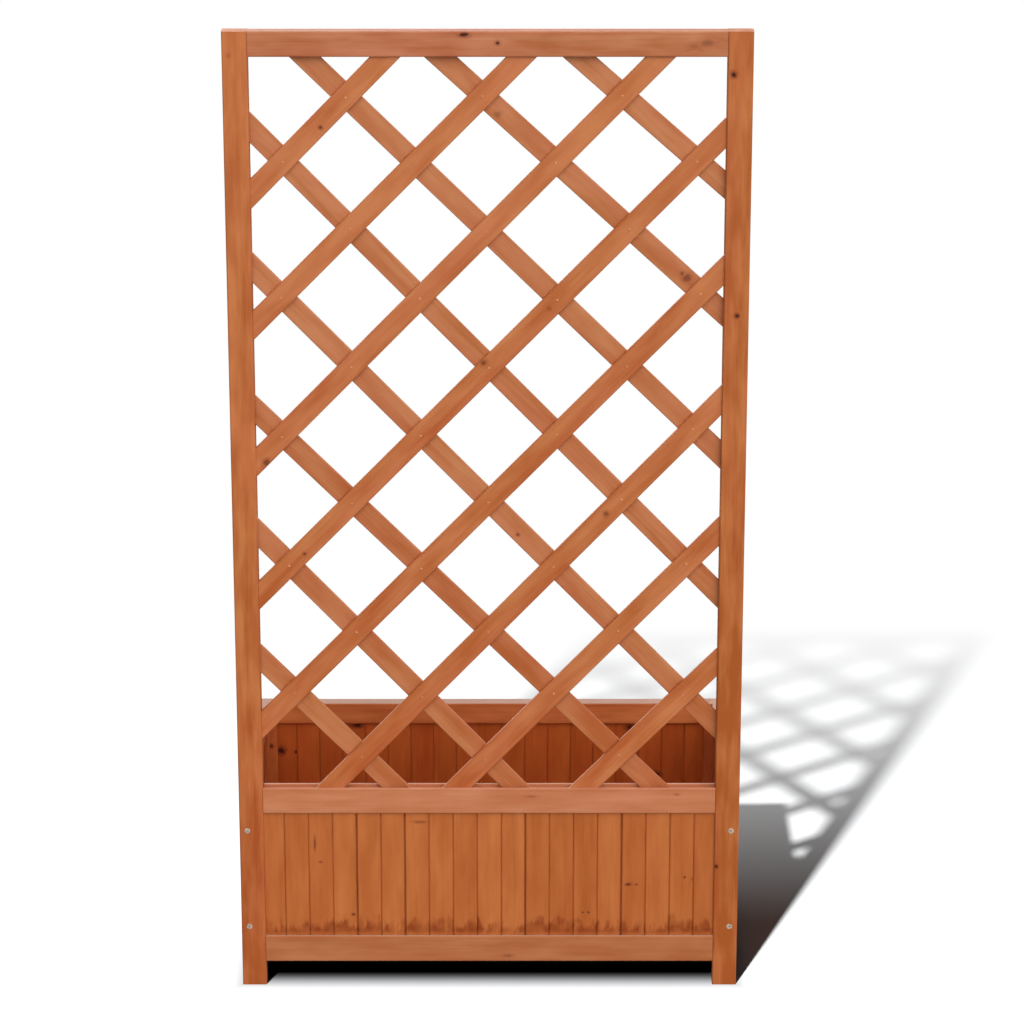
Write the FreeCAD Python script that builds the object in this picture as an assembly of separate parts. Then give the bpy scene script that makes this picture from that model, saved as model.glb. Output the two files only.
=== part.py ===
# Stained fir planter box with a tall trellis in its front frame.
#
# Four grooved frames stand on four legs. The front frame runs up past the box and
# holds two layers of crossed laths; below its middle rail, and in the rear and side
# frames, tongued and grooved slats stand in the same grooves. Countersunk screws go
# through the posts into the side frames, and a slatted floor lies on two battens.
#
# Millimetres. X runs to the right, +Y to the rear, +Z up. The origin is on the
# ground, under the middle of the box.
import FreeCAD, Part
import math
import os

# Overall size
WIDTH = 700.0
DEPTH = 350.0
HEIGHT = 1370.0
BOX_HEIGHT = 300.0
GROUND_GAP = 36.0          # from the ground to the bottom rails

# Frame stock
FRAME_THICKNESS = 22.0
POST_WIDTH = 34.0
TOP_RAIL_HEIGHT = 34.0
MID_RAIL_HEIGHT = 38.0
BOTTOM_RAIL_HEIGHT = 39.0
REAR_RAIL_HEIGHT = 32.0
SIDE_STOCK_WIDTH = 24.0
ARRIS_RADIUS = 2.0

# The groove in the inner edge of every post, stile and rail
OUTER_LIP = 3.5
GROOVE_WIDTH = 12.5
GROOVE_DEPTH = 8.0
GROOVE_PLAY = 0.25         # on each face of what stands in the groove
TENON_LENGTH = 7.5

# Slats
SLAT_COVER = 33.8          # from joint to joint
SLAT_THICKNESS = 12.0
SLAT_SEAT = 7.0            # in the rail above; below, a slat stands on the groove's bottom
JOINT_GAP = 0.4
SHRUNK_JOINT_GAP = 1.6
SHRUNK_JOINTS = (4, 6, 11, 15)   # front joints that have opened, from the left
V_CUT = 1.5
TONGUE_THICKNESS = 4.0
TONGUE_LENGTH = 3.2
TONGUE_PLAY = 0.3
FRONT_SLATS = 19
SIDE_SLATS = 8

# Laths
LATH_WIDTH = 29.0
LATH_THICKNESS = 6.0
LATH_CHAMFER = 0.8
LATH_SEAT = 7.0            # in posts and top rail; below, a lath stands on the groove's bottom
# Height of each lath's centre line at the inner edge of the left and the right post.
# Where a rail cuts a lath short, its line is run on. They were nailed by hand and
# aren't quite parallel.
RISING_LATHS = (
    (1150.0, 1797.0), (969.0, 1611.0), (776.0, 1426.0), (584.0, 1234.0),
    (393.0, 1046.0), (200.0, 865.0), (15.0, 678.0), (-160.0, 487.0),
)
FALLING_LATHS = (
    (1721.0, 1161.0), (1568.0, 985.0), (1408.0, 785.0), (1240.0, 584.0),
    (1048.0, 390.0), (849.0, 213.0), (673.0, 1.0), (490.0, -165.0),
)

# Nails through the crossings
NAIL_SIDE = 1.4
NAIL_LENGTH = 10.0
NAIL_HEAD_RADIUS = 1.6
NAIL_HEAD_THICKNESS = 0.6
NAIL_HEAD_SIDES = 8
NAIL_EDGE_ROOM = 8.0       # least distance from a nail to the frame

# Screws that join the frames, two in each post
SCREW_HEIGHTS = (90.0, 236.0)
SCREW_LENGTH = 35.0
SCREW_SHANK_RADIUS = 2.0
SCREW_HEAD_RADIUS = 4.0
SCREW_HEAD_DEPTH = 2.2
SCREW_TIP_LENGTH = 4.0
SCREW_TIP_RADIUS = 0.5
SCREW_HOLE_RADIUS = 2.2    # clearance hole in the post
SCREW_SIDES = 12           # small round things are drawn with a few flat sides
DRIVE_SPAN = 4.4           # the cross in a head, for the screwdriver
DRIVE_WIDTH = 0.9
DRIVE_DEPTH = 1.4

# Floor
BATTEN_SIDE = 20.0
BATTEN_TOP = 70.0
BATTEN_END_ROOM = 1.0
FLOOR_BOARDS = 8
FLOOR_BOARD_THICKNESS = 12.0
FLOOR_BOARD_GAP = 8.0
FLOOR_END_ROOM = 1.5
FLOOR_CHAMFER = 1.0

# Worked out from the above
INNER_HALF_WIDTH = WIDTH / 2 - POST_WIDTH
SIDE_FRAME_LENGTH = DEPTH - 2 * FRAME_THICKNESS
SIDE_HALF_OPENING = SIDE_FRAME_LENGTH / 2 - SIDE_STOCK_WIDTH
CORE_FRONT = OUTER_LIP + GROOVE_PLAY      # front of what stands in the groove
TRELLIS_BOTTOM = BOX_HEIGHT
TRELLIS_TOP = HEIGHT - TOP_RAIL_HEIGHT
SCREW_INSET = FRAME_THICKNESS / 2         # from the box's outer side face

UP = FreeCAD.Vector(0, 0, 1)
INWARD = FreeCAD.Vector(0, 1, 0)
ORIGIN = FreeCAD.Vector(0, 0, 0)


def box(x_range, y_range, z_range):
    """A block between two places on each axis."""
    low = FreeCAD.Vector(x_range[0], y_range[0], z_range[0])
    high = FreeCAD.Vector(x_range[1], y_range[1], z_range[1])
    size = high - low
    return Part.makeBox(size.x, size.y, size.z, low)


def prism(points, sweep):
    """A straight solid whose section is the polygon through the points."""
    outline = Part.makePolygon(points + [points[0]])
    return Part.Face(outline).extrude(sweep)


def ring(radius, y, sides):
    """The corners of a small circle round the Y axis."""
    corners = []
    for corner in range(sides):
        turn = 2 * math.pi * (corner + 0.5) / sides
        corners.append(FreeCAD.Vector(radius * math.cos(turn), y, radius * math.sin(turn)))
    return corners


def taper(near_radius, far_radius, near_y, far_y, sides):
    """A small round bar or cone along +Y."""
    near = ring(near_radius, near_y, sides)
    far = ring(far_radius, far_y, sides)
    faces = [Part.Face(Part.makePolygon(end + [end[0]])) for end in (near, far)]
    for a in range(sides):
        b = (a + 1) % sides
        side = [near[a], near[b], far[b], far[a], near[a]]
        faces.append(Part.Face(Part.makePolygon(side)))
    return Part.makeSolid(Part.makeShell(faces))


def edges_along(solid, direction):
    """The straight edges of a solid that run along a direction."""
    found = []
    for edge in solid.Edges:
        run = edge.Vertexes[-1].Point - edge.Vertexes[0].Point
        if run.Length > 0 and run.cross(direction).Length < 1e-6 * run.Length:
            found.append(edge)
    return found


def eased(block, direction):
    """A block with its long arrises rounded over."""
    return block.makeFillet(ARRIS_RADIUS, edges_along(block, direction))


def turned(shape, angle, reach):
    """Set a frame part, drawn with its outer face on Y = 0 and its inside towards +Y,
    at its distance from the middle of the box and turn it to its side."""
    out = shape.copy()
    out.translate(FreeCAD.Vector(0, -reach, 0))
    out.rotate(ORIGIN, UP, angle)
    return out


# --- Frame members, drawn as for the front frame -------------------------------------

def upright(inner_edge, width, z_range, side):
    """A post or stile on the left (side -1) or the right (side +1) of a frame, with
    the groove in its inner edge."""
    across = sorted((side * inner_edge, side * (inner_edge + width)))
    body = eased(box(across, (0, FRAME_THICKNESS), z_range), UP)
    groove_x = sorted((side * (inner_edge - 1), side * (inner_edge + GROOVE_DEPTH)))
    groove_z = (max(z_range[0], GROUND_GAP), z_range[1] + 1)
    groove = box(groove_x, (OUTER_LIP, OUTER_LIP + GROOVE_WIDTH), groove_z)
    return body.cut(groove)


def rail(half_length, z_range, groove_above, groove_below):
    """A rail between two uprights, with a stub tenon at each end. The groove is run
    right through, so it takes the edge off the tenons as well."""
    body = box((-half_length, half_length), (0, FRAME_THICKNESS), z_range)
    body = eased(body, FreeCAD.Vector(1, 0, 0))
    reach = half_length + TENON_LENGTH
    core_back = OUTER_LIP + GROOVE_WIDTH - GROOVE_PLAY
    body = body.fuse(box((-reach, reach), (CORE_FRONT, core_back), z_range))
    groove_y = (OUTER_LIP, OUTER_LIP + GROOVE_WIDTH)
    if groove_above:
        groove_z = (z_range[1] - GROOVE_DEPTH, z_range[1] + 1)
        body = body.cut(box((-reach - 1, reach + 1), groove_y, groove_z))
    if groove_below:
        groove_z = (z_range[0] - 1, z_range[0] + GROOVE_DEPTH)
        body = body.cut(box((-reach - 1, reach + 1), groove_y, groove_z))
    return body.removeSplitter()


# --- Slats -----------------------------------------------------------------------------

def slat(left, right, z_range, has_tongue, has_groove):
    """One V-jointed slat between two joints, its tongue on the right."""
    front = CORE_FRONT
    back = CORE_FRONT + SLAT_THICKNESS
    middle = (front + back) / 2
    tongue = TONGUE_THICKNESS / 2
    slot = tongue + TONGUE_PLAY
    section = [(left + V_CUT, front), (right - V_CUT, front), (right, front + V_CUT)]
    if has_tongue:
        tip = right + TONGUE_LENGTH
        section += [(right, middle - tongue), (tip, middle - tongue)]
        section += [(tip, middle + tongue), (right, middle + tongue)]
    section += [(right, back), (left, back)]
    if has_groove:
        bottom = left + TONGUE_LENGTH + TONGUE_PLAY
        section += [(left, middle + slot), (bottom, middle + slot)]
        section += [(bottom, middle - slot), (left, middle - slot)]
    section.append((left, front + V_CUT))
    points = [FreeCAD.Vector(x, y, z_range[0]) for x, y in section]
    return prism(points, UP * (z_range[1] - z_range[0]))


def slat_wall(count, z_range, shrunk_joints=()):
    """A run of slats centred on X = 0, from the left. Each joint's gap is taken off
    the slat on its left."""
    start = -count * SLAT_COVER / 2
    slats = []
    for index in range(count):
        left = start + index * SLAT_COVER
        gap = SHRUNK_JOINT_GAP if index + 1 in shrunk_joints else JOINT_GAP
        right = left + SLAT_COVER - gap
        slats.append(slat(left, right, z_range, index < count - 1, index > 0))
    return slats


# --- Screws ----------------------------------------------------------------------------

def screw():
    """A countersunk screw that points along +Y, its head flush with Y = 0."""
    shank_end = SCREW_LENGTH - SCREW_TIP_LENGTH
    radius = SCREW_SHANK_RADIUS
    head = taper(SCREW_HEAD_RADIUS, radius, 0, SCREW_HEAD_DEPTH, SCREW_SIDES)
    shank = taper(radius, radius, SCREW_HEAD_DEPTH, shank_end, SCREW_SIDES)
    tip = taper(radius, SCREW_TIP_RADIUS, shank_end, SCREW_LENGTH, SCREW_SIDES)
    body = head.fuse([shank, tip]).removeSplitter()
    half_span = DRIVE_SPAN / 2
    half_width = DRIVE_WIDTH / 2
    depth = (-1, DRIVE_DEPTH)
    flat_slot = box((-half_span, half_span), depth, (-half_width, half_width))
    upright_slot = box((-half_width, half_width), depth, (-half_span, half_span))
    return body.cut(flat_slot.fuse(upright_slot))


def screw_hole():
    """What a screw takes out of a post and the stile behind it."""
    radius = SCREW_SHANK_RADIUS
    sink = taper(SCREW_HEAD_RADIUS, radius, 0, SCREW_HEAD_DEPTH, SCREW_SIDES)
    clearance = taper(SCREW_HOLE_RADIUS, SCREW_HOLE_RADIUS, 0, FRAME_THICKNESS, SCREW_SIDES)
    pilot = taper(radius, radius, 0, SCREW_LENGTH, SCREW_SIDES)
    return sink.fuse([clearance, pilot])


def at_screw_places(shape):
    """Copies of a shape, drawn on the outer face of the front frame, at all eight
    screws: two posts, two heights, front and rear."""
    copies = []
    for angle in (0, 180):
        for side in (-1, 1):
            for height in SCREW_HEIGHTS:
                one = shape.copy()
                one.translate(FreeCAD.Vector(side * (WIDTH / 2 - SCREW_INSET), 0, height))
                copies.append(turned(one, angle, DEPTH / 2))
    return copies


# --- Trellis ---------------------------------------------------------------------------

def lath(heights, layer):
    """A lath of the front (layer 0) or the rear (layer 1) layer, cut to the frame."""
    front = CORE_FRONT + layer * LATH_THICKNESS
    back = front + LATH_THICKNESS
    half = LATH_WIDTH / 2
    cut = LATH_CHAMFER
    section = [
        (front, cut - half), (front + cut, -half), (back - cut, -half), (back, cut - half),
        (back, half - cut), (back - cut, half), (front + cut, half), (front, half - cut),
    ]
    points = [FreeCAD.Vector(-HEIGHT, y, z) for y, z in section]
    strip = prism(points, FreeCAD.Vector(2 * HEIGHT, 0, 0))
    rise = heights[1] - heights[0]
    angle = math.degrees(math.atan2(rise, 2 * INNER_HALF_WIDTH))
    strip.rotate(ORIGIN, INWARD, -angle)
    strip.translate(UP * (sum(heights) / 2))
    reach = INNER_HALF_WIDTH + LATH_SEAT
    z_range = (TRELLIS_BOTTOM - GROOVE_DEPTH, TRELLIS_TOP + LATH_SEAT)
    return strip.common(box((-reach, reach), (0, FRAME_THICKNESS), z_range))


def crossings():
    """Where the centre lines of the two layers cross inside the frame."""
    span = 2 * INNER_HALF_WIDTH
    places = []
    for rising in RISING_LATHS:
        for falling in FALLING_LATHS:
            rise = (rising[1] - rising[0]) / span
            fall = (falling[1] - falling[0]) / span
            along = (falling[0] - rising[0]) / (rise - fall)
            x = along - INNER_HALF_WIDTH
            z = rising[0] + rise * along
            inside_x = abs(x) < INNER_HALF_WIDTH - NAIL_EDGE_ROOM
            inside_z = TRELLIS_BOTTOM + NAIL_EDGE_ROOM < z < TRELLIS_TOP - NAIL_EDGE_ROOM
            if inside_x and inside_z:
                places.append((x, z))
    return places


def nail_shank(x, z):
    """The square shank of a nail, which is also the hole that it makes."""
    half = NAIL_SIDE / 2
    return box((x - half, x + half), (CORE_FRONT, CORE_FRONT + NAIL_LENGTH), (z - half, z + half))


def nail(x, z):
    """A nail with a flat head on the face of the front lath."""
    radius = NAIL_HEAD_RADIUS
    head_front = CORE_FRONT - NAIL_HEAD_THICKNESS
    head = taper(radius, radius, head_front, CORE_FRONT, NAIL_HEAD_SIDES)
    head.translate(FreeCAD.Vector(x, 0, z))
    return nail_shank(x, z).fuse(head)


# --- Floor -----------------------------------------------------------------------------

def floor_parts():
    """Two battens against the front and rear bottom rails, and the boards on them."""
    half_width = WIDTH / 2 - FRAME_THICKNESS
    inner_half_depth = SIDE_FRAME_LENGTH / 2
    batten_x = (BATTEN_END_ROOM - half_width, half_width - BATTEN_END_ROOM)
    batten_z = (BATTEN_TOP - BATTEN_SIDE, BATTEN_TOP)
    battens = {
        "floor_batten_front": (-inner_half_depth, BATTEN_SIDE - inner_half_depth),
        "floor_batten_rear": (inner_half_depth - BATTEN_SIDE, inner_half_depth),
    }
    parts = {name: box(batten_x, y, batten_z) for name, y in battens.items()}

    first = FLOOR_END_ROOM - half_width
    pitch = (2 * (half_width - FLOOR_END_ROOM) + FLOOR_BOARD_GAP) / FLOOR_BOARDS
    board_y = (FLOOR_END_ROOM - inner_half_depth, inner_half_depth - FLOOR_END_ROOM)
    board_z = (BATTEN_TOP, BATTEN_TOP + FLOOR_BOARD_THICKNESS)
    boards = []
    for index in range(FLOOR_BOARDS):
        left = first + index * pitch
        board = box((left, left + pitch - FLOOR_BOARD_GAP), board_y, board_z)
        long_edges = edges_along(board, INWARD)
        boards.append(board.makeChamfer(FLOOR_CHAMFER, long_edges))
    parts["floor_boards"] = Part.makeCompound(boards)
    return parts


# --- The four frames -------------------------------------------------------------------

def front_frame():
    """The tall frame with the trellis and the front wall."""
    bottom_top = GROUND_GAP + BOTTOM_RAIL_HEIGHT
    mid_bottom = BOX_HEIGHT - MID_RAIL_HEIGHT
    parts = {
        "front_post_left": upright(INNER_HALF_WIDTH, POST_WIDTH, (0, HEIGHT), -1),
        "front_post_right": upright(INNER_HALF_WIDTH, POST_WIDTH, (0, HEIGHT), 1),
        "trellis_top_rail": rail(INNER_HALF_WIDTH, (TRELLIS_TOP, HEIGHT), False, True),
        "front_mid_rail": rail(INNER_HALF_WIDTH, (mid_bottom, BOX_HEIGHT), True, True),
        "front_bottom_rail": rail(INNER_HALF_WIDTH, (GROUND_GAP, bottom_top), True, False),
    }
    slat_z = (bottom_top - GROOVE_DEPTH, mid_bottom + SLAT_SEAT)
    for number, one in enumerate(slat_wall(FRONT_SLATS, slat_z, SHRUNK_JOINTS), start=1):
        parts[f"front_slat_{number:02d}"] = one

    holes = [nail_shank(x, z) for x, z in crossings()]
    layers = (("lath_front", RISING_LATHS), ("lath_rear", FALLING_LATHS))
    for layer, (name, laths) in enumerate(layers):
        for number, heights in enumerate(laths, start=1):
            parts[f"{name}_{number}"] = lath(heights, layer).cut(holes)
    parts["lattice_nails"] = Part.makeCompound([nail(x, z) for x, z in crossings()])
    return {name: turned(shape, 0, DEPTH / 2) for name, shape in parts.items()}


def rear_frame():
    """The low frame behind, seen from outside, so its left post is on +X."""
    bottom_top = GROUND_GAP + BOTTOM_RAIL_HEIGHT
    top_bottom = BOX_HEIGHT - REAR_RAIL_HEIGHT
    slat_z = (bottom_top - GROOVE_DEPTH, top_bottom + SLAT_SEAT)
    parts = {
        "rear_post_right": upright(INNER_HALF_WIDTH, POST_WIDTH, (0, BOX_HEIGHT), -1),
        "rear_post_left": upright(INNER_HALF_WIDTH, POST_WIDTH, (0, BOX_HEIGHT), 1),
        "rear_top_rail": rail(INNER_HALF_WIDTH, (top_bottom, BOX_HEIGHT), False, True),
        "rear_bottom_rail": rail(INNER_HALF_WIDTH, (GROUND_GAP, bottom_top), True, False),
        "rear_slats": Part.makeCompound(slat_wall(FRONT_SLATS, slat_z)),
    }
    return {name: turned(shape, 180, DEPTH / 2) for name, shape in parts.items()}


def side_frame(name, angle):
    """A side frame, set between the front and the rear frame and flush outside."""
    bottom_top = GROUND_GAP + SIDE_STOCK_WIDTH
    top_bottom = BOX_HEIGHT - SIDE_STOCK_WIDTH
    slat_z = (bottom_top - GROOVE_DEPTH, top_bottom + SLAT_SEAT)
    stile_z = (GROUND_GAP, BOX_HEIGHT)
    left_end, right_end = ("front", "rear") if angle == 90 else ("rear", "front")
    parts = {
        f"{name}_{left_end}_stile":
            upright(SIDE_HALF_OPENING, SIDE_STOCK_WIDTH, stile_z, -1),
        f"{name}_{right_end}_stile":
            upright(SIDE_HALF_OPENING, SIDE_STOCK_WIDTH, stile_z, 1),
        f"{name}_top_rail": rail(SIDE_HALF_OPENING, (top_bottom, BOX_HEIGHT), False, True),
        f"{name}_bottom_rail": rail(SIDE_HALF_OPENING, (GROUND_GAP, bottom_top), True, False),
        f"{name}_slats": Part.makeCompound(slat_wall(SIDE_SLATS, slat_z)),
    }
    return {key: turned(shape, angle, WIDTH / 2) for key, shape in parts.items()}


def planter():
    """Every piece under its name."""
    parts = {}
    parts.update(front_frame())
    parts.update(rear_frame())
    parts.update(side_frame("left_side", -90))
    parts.update(side_frame("right_side", 90))
    holes = at_screw_places(screw_hole())
    for name in parts:
        if "post" in name or "stile" in name:
            parts[name] = parts[name].cut(holes)
    parts["corner_screws"] = Part.makeCompound(at_screw_places(screw()))
    parts.update(floor_parts())
    return parts


os.makedirs("parts", exist_ok=True)
pieces = planter()
for piece_name, piece in pieces.items():
    piece.exportStep(f"parts/{piece_name}.step")
print(len(pieces), "parts")
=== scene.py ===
# %% [markdown]
# # Timber, light and a camera for a planter with a trellis
#
# The planter comes as finished solids: four frames of grooved fir, slats, a lattice of
# nailed laths, screws and a floor. Their shapes are right already, so this lesson is
# about what makes them look like stained softwood: grain that runs along every single
# board, knots in their places, stain that has gathered in joints, zinc on the screws,
# and light soft enough to show it. Loading comes first, because everything below is
# measured from the solids. Blender works in metres here, so millimetres get a name.

# %% Load the solids
import math
import random

import bmesh
import bpy
from mathutils import Matrix, Vector


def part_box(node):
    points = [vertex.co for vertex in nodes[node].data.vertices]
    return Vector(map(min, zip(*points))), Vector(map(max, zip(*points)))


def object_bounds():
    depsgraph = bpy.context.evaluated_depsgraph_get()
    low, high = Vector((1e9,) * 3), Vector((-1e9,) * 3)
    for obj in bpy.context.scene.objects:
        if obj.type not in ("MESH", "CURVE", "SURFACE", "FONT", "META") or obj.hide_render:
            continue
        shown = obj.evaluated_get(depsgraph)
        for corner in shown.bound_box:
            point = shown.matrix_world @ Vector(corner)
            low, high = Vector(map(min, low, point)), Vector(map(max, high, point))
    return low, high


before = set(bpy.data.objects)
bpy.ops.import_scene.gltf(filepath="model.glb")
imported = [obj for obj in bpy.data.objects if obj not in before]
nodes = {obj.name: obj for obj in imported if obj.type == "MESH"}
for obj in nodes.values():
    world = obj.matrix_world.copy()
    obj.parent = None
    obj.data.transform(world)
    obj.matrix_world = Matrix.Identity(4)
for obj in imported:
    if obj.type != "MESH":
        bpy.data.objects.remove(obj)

MM = 0.001
cad_box = [list(corner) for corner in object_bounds()]
print(len(nodes), "solids, from", cad_box[0], "to", cad_box[1])

# %% [markdown]
# ## Which way does the grain run?
#
# A tree's fibres run up the trunk, and a board is sawn along them. So the grain follows
# each board's length: up the posts and slats, along the rails, and at a slant in the
# laths. A material can be turned to suit. For each board we work out three directions,
# along, across its face and through its thickness, and later a Mapping node turns the
# pattern to them. A lath's slant isn't written down anywhere, but its long edges know
# it: theirs are the largest of the faces that look aslant, half sideways and half up or
# down.

# %% The directions of a board
RIGHT, BACK, UP = Vector((1, 0, 0)), Vector((0, 1, 0)), Vector((0, 0, 1))
ASLANT = 0.3                      # the least of a slanting normal's X and Z, out of 1


def lath_directions(lath):
    """Along and across a lath, from the largest face of its long edges."""
    edges = [
        face for face in nodes[lath].data.polygons
        if abs(face.normal.x) > ASLANT and abs(face.normal.z) > ASLANT
    ]
    widest = max(edges, key=lambda face: face.area)
    across = widest.normal * math.copysign(1, widest.normal.z)
    return Vector((across.z, 0, -across.x)), across


def board_directions(board):
    """Along and across a board. Its thickness lies square to both."""
    if board.startswith("lath"):
        return lath_directions(board)
    if "post" in board or "stile" in board or "slat" in board:
        return UP, BACK if "side" in board else RIGHT
    if "side" in board:
        return BACK, UP
    if board == "floor_boards":
        return BACK, RIGHT
    return RIGHT, UP


def measured(board):
    """A board's turn into its own directions, its middle and half its size there."""
    along, across = board_directions(board)
    turn = Matrix((along, across, along.cross(across)))
    points = [turn @ vertex.co for vertex in nodes[board].data.vertices]
    low = Vector([min(point[axis] for point in points) for axis in range(3)])
    high = Vector([max(point[axis] for point in points) for axis in range(3)])
    return turn, (low + high) / 2, (high - low) / 2


for example in ("front_post_left", "lath_front_4", "lath_rear_4"):
    turn, middle, half = measured(example)
    slant = math.degrees(math.atan2(turn[0].z, turn[0].x))
    print(f"{example}: grain at {slant:.1f} degrees, {2 * half.x / MM:.0f} mm long")

# %% [markdown]
# ## A helper for nodes, and one for colours
#
# A material is a tree of small nodes. Adding one by hand takes a line for the node, one
# for each setting and one for each link, so a single helper does all three. Colours are
# written as the hex codes that a paint program shows. A renderer counts light instead,
# so each code is turned to linear values first.

# %% Node and colour helpers
def add(tree, kind, settings=None, inputs=None, output=0):
    """Add a node with its settings. Each input, by name or number, is a value or a
    socket to link. Gives back one of the node's outputs, if it has any."""
    node = tree.nodes.new("ShaderNode" + kind)
    for name, value in (settings or {}).items():
        setattr(node, name, value)
    for name, value in (inputs or {}).items():
        if isinstance(value, bpy.types.NodeSocket):
            tree.links.new(value, node.inputs[name])
        else:
            node.inputs[name].default_value = value
    return node.outputs[output] if node.outputs else None


def linear(code):
    """A hex colour such as #B8682F as linear red, green, blue and full opacity."""
    channels = [int(code[place:place + 2], 16) / 255 for place in (1, 3, 5)]
    light = [c / 12.92 if c <= 0.04045 else ((c + 0.055) / 1.055) ** 2.4 for c in channels]
    return (*light, 1.0)


print("mid grey #808080 is", round(linear("#808080")[0], 3), "of full light")

# %% [markdown]
# ## Fir grain
#
# A trunk is a stack of cones, close to cylinders: each year adds a pale, soft layer and
# a thin dark one. A board is a slice of that, so the grain can be made the way the tree
# made it: measure how far a point lies from the pith, the line up the middle of the
# trunk, and count rings outwards. Because it is a solid pattern, end grain, faces and
# edges agree with no effort. Two things keep it from looking ruled. The pith wanders a
# little, which draws the long arches on a board's face, and every year's dark line has
# its own strength, as wet and dry summers leave them.
#
# Three finer patterns lie over the rings: bundles of fibres, blotches where the timber
# drank more stain, and a slow drift from sapwood to heartwood. They are stretched along
# the grain, and each one's size is given in real millimetres. Every board uses them, so
# they go into a group.

# %% The grain group
RING_WIDTH = 4.2 * MM             # fast-grown fir; narrower rings would be lost here
RIPPLE = 2.4 * MM                 # how far the fibres push a ring to and fro
WANDER = (0.0, 18 * MM, 14 * MM)  # how far the pith strays: along, across and through
GRAIN_NOISES = {                  # size along, across and through a board, and detail
    "Wander": ((450 * MM, 60 * MM, 60 * MM), 1.5),
    "Fibres": ((70 * MM, 1.8 * MM, 1.8 * MM), 3.0),
    "Blotches": ((80 * MM, 19 * MM, 19 * MM), 2.0),
    "Drift": ((330 * MM, 24 * MM, 24 * MM), 1.0),
}
MIDDLE = (0.5, 0.5, 0.5)          # a noise's values lie round this
YEAR = ((0.4, 0.15), (0.8, 1.0))  # how dark the wood is, so far into a year's growth
DRY_YEARS = 0.2                   # this share of the years has the faintest line
FAINTEST = 0.05
RING_PATCHES = (0.35, 0.65)       # the drift's values where rings are faint and clear
FAINT_PATCH = 0.3
BLACK = (0, 0, 0, 1)


def cells(size):
    """How many times per metre a pattern of this size repeats, on each axis."""
    return tuple(1 / length for length in size)


def make_grain_group():
    """Rings, fibres, blotches and drift of fir, each from 0 to 1."""
    tree = bpy.data.node_groups.new("Fir grain", "ShaderNodeTree")
    for name, kind in (("Place", "Vector"), ("Pith", "Vector"), ("Bend", "Float")):
        tree.interface.new_socket(name=name, in_out="INPUT", socket_type="NodeSocket" + kind)
    place, pith, bend = list(tree.nodes.new("NodeGroupInput").outputs)[:3]

    patterns = {}
    for name, (size, detail) in GRAIN_NOISES.items():
        scaled = add(tree, "VectorMath", {"operation": "MULTIPLY"},
                     {0: place, 1: cells(size)})
        patterns[name] = add(tree, "TexNoise", None,
                             {"Vector": scaled, "Scale": 1.0, "Detail": detail})

    off_centre = add(tree, "VectorMath", {"operation": "SUBTRACT"},
                     {0: patterns.pop("Wander").node.outputs["Color"], 1: MIDDLE})
    stray = add(tree, "VectorMath", {"operation": "MULTIPLY_ADD"},
                {0: off_centre, 1: WANDER, 2: place})
    from_pith = add(tree, "VectorMath", {"operation": "SUBTRACT"}, {0: stray, 1: pith})
    square_to_it = add(tree, "VectorMath", {"operation": "MULTIPLY"},
                       {0: from_pith, 1: (0, 1, 1)})
    distance = add(tree, "VectorMath", {"operation": "LENGTH"}, {0: square_to_it}, "Value")
    rippled = add(tree, "Math", {"operation": "MULTIPLY_ADD"},
                  {0: patterns["Fibres"], 1: RIPPLE, 2: distance})
    bent = add(tree, "Math", {"operation": "ADD"}, {0: rippled, 1: bend})
    count = add(tree, "Math", {"operation": "DIVIDE"}, {0: bent, 1: RING_WIDTH})
    season = add(tree, "Math", {"operation": "FRACT"}, {0: count})
    year = add(tree, "Math", {"operation": "FLOOR"}, {0: count})

    ramp = add(tree, "ValToRGB", None, {0: season})
    stops = ramp.node.color_ramp.elements
    stops[0].color, stops[1].color = BLACK, BLACK
    for part_of_year, dark in YEAR:
        stops.new(part_of_year).color = (dark, dark, dark, 1)
    summer = add(tree, "TexWhiteNoise", {"noise_dimensions": "1D"}, {"W": year})
    strength = add(tree, "MapRange", None, {
        "Value": summer, "From Min": DRY_YEARS, "From Max": 1.0, "To Min": FAINTEST})
    patch = add(tree, "MapRange", None, {
        "Value": patterns["Drift"], "From Min": RING_PATCHES[0],
        "From Max": RING_PATCHES[1], "To Min": FAINT_PATCH})
    lines = add(tree, "Math", {"operation": "MULTIPLY"}, {0: ramp, 1: strength})
    patterns["Rings"] = add(tree, "Math", {"operation": "MULTIPLY"}, {0: lines, 1: patch})

    for name in patterns:
        tree.interface.new_socket(name=name, in_out="OUTPUT", socket_type="NodeSocketFloat")
    outlet = tree.nodes.new("NodeGroupOutput")
    for name, pattern in patterns.items():
        tree.links.new(pattern, outlet.inputs[name])
    return tree


grain_group = make_grain_group()
print("Fir grain:", len(grain_group.nodes), "nodes, rings", RING_WIDTH / MM, "mm apart")
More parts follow.
